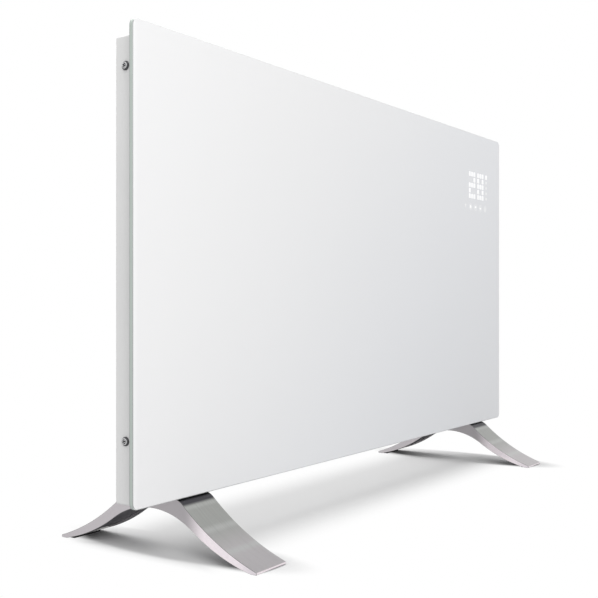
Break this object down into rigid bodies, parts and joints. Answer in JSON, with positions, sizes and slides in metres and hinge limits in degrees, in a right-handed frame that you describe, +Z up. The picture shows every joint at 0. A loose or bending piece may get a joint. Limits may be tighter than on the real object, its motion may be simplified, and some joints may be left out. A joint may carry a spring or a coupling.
{
  "type": "panel convector heater",
  "caption": "Slim glass-fronted electric convector heater on two arched aluminium feet, with a slotted steel air duct behind, a side rocker switch and a tip-over switch.",
  "frame": {"origin": "on the floor, under the middle of the part's bounding box, which is midway between the two feet", "axes": "+X to the right as seen from the front, +Y to the back, +Z up"},
  "size_m": [0.83, 0.25, 0.4955],
  "materials": {
    "white_glass": "polished, opaque white from behind",
    "foam_tape": "matt foam",
    "housing_paint": "light grey powder coat",
    "screw_steel": "bright zinc",
    "zinc_sheet": "galvanised sheet",
    "foot_aluminium": "brushed top faces, satin cut sides",
    "pad_rubber": "matt",
    "fin_aluminium": "mill finish",
    "plated_steel": "nickel plated",
    "brass_blades": "plain",
    "ceramic": "unglazed steatite",
    "moulded_black": "fine grain",
    "moulded_white": "fine grain",
    "terminal_green": "fine grain",
    "board_laminate": "solder mask",
    "led_package": "clear resin",
    "sensing_foam": "conductive foam",
    "capacitor_sleeve": "shrink sleeve"
  },
  "bodies": {
    "heater": {"front_glass": "white_glass", "glass_bond_tape": "foam_tape", "rear_cover": "housing_paint", "front_plate": "housing_paint", "cover_side_screws": "screw_steel", "cover_edge_screws": "screw_steel", "foot_screws": "screw_steel", "display_screws": "screw_steel", "power_board_screws": "screw_steel", "terminal_screws": "screw_steel", "keyhole_plates": "zinc_sheet", "foot_nut_plates": "zinc_sheet", "control_bay_wall": "zinc_sheet", "element_bracket": "zinc_sheet", "thermal_fuse_clip": "zinc_sheet", "room_sensor_clip": "zinc_sheet", "tilt_bracket": "zinc_sheet", "foot_left": "foot_aluminium", "foot_right": "foot_aluminium", "foot_pads": "pad_rubber", "lower_element": "fin_aluminium", "upper_element": "fin_aluminium", "heat_shield": "fin_aluminium", "element_rods": "plated_steel", "element_terminals": "plated_steel", "terminal_nuts": "plated_steel", "earth_stud": "plated_steel", "earth_nut": "plated_steel", "tilt_pin": "plated_steel", "thermal_fuse": "plated_steel", "room_sensor": "plated_steel", "power_switch_blades": "brass_blades", "element_bushes": "ceramic", "thermal_cutout": "moulded_black", "display_light_mask": "moulded_black", "relays": "moulded_black", "supply_module": "moulded_black", "cable_gland": "moulded_black", "power_switch_body": "moulded_black", "reed_switch": "moulded_black", "power_board_tray": "moulded_white", "terminal_block": "moulded_white", "display_spacers": "moulded_white", "output_terminals": "terminal_green", "display_board": "board_laminate", "power_board": "board_laminate", "display_leds": "led_package", "touch_pads": "sensing_foam", "smoothing_capacitor": "capacitor_sleeve"},
    "switch_rocker": {"power_switch_rocker": "moulded_black"},
    "tilt_pendulum": {"tilt_pendulum": "moulded_white", "pendulum_magnet": "plated_steel"}
  },
  "joints": [
    {"name": "switch_rocker_turn", "type": "hinge", "parent": "heater", "child": "switch_rocker", "pos_m": [0.4015, -0.015, 0.1595], "axis": [0, 1, 0], "range_deg": [0, 20]},
    {"name": "tilt_pendulum_swing", "type": "hinge", "parent": "heater", "child": "tilt_pendulum", "pos_m": [0.2632, 0.002, 0.3495], "axis": [1, 0, 0], "range_deg": [-30, 30]}
  ]
}
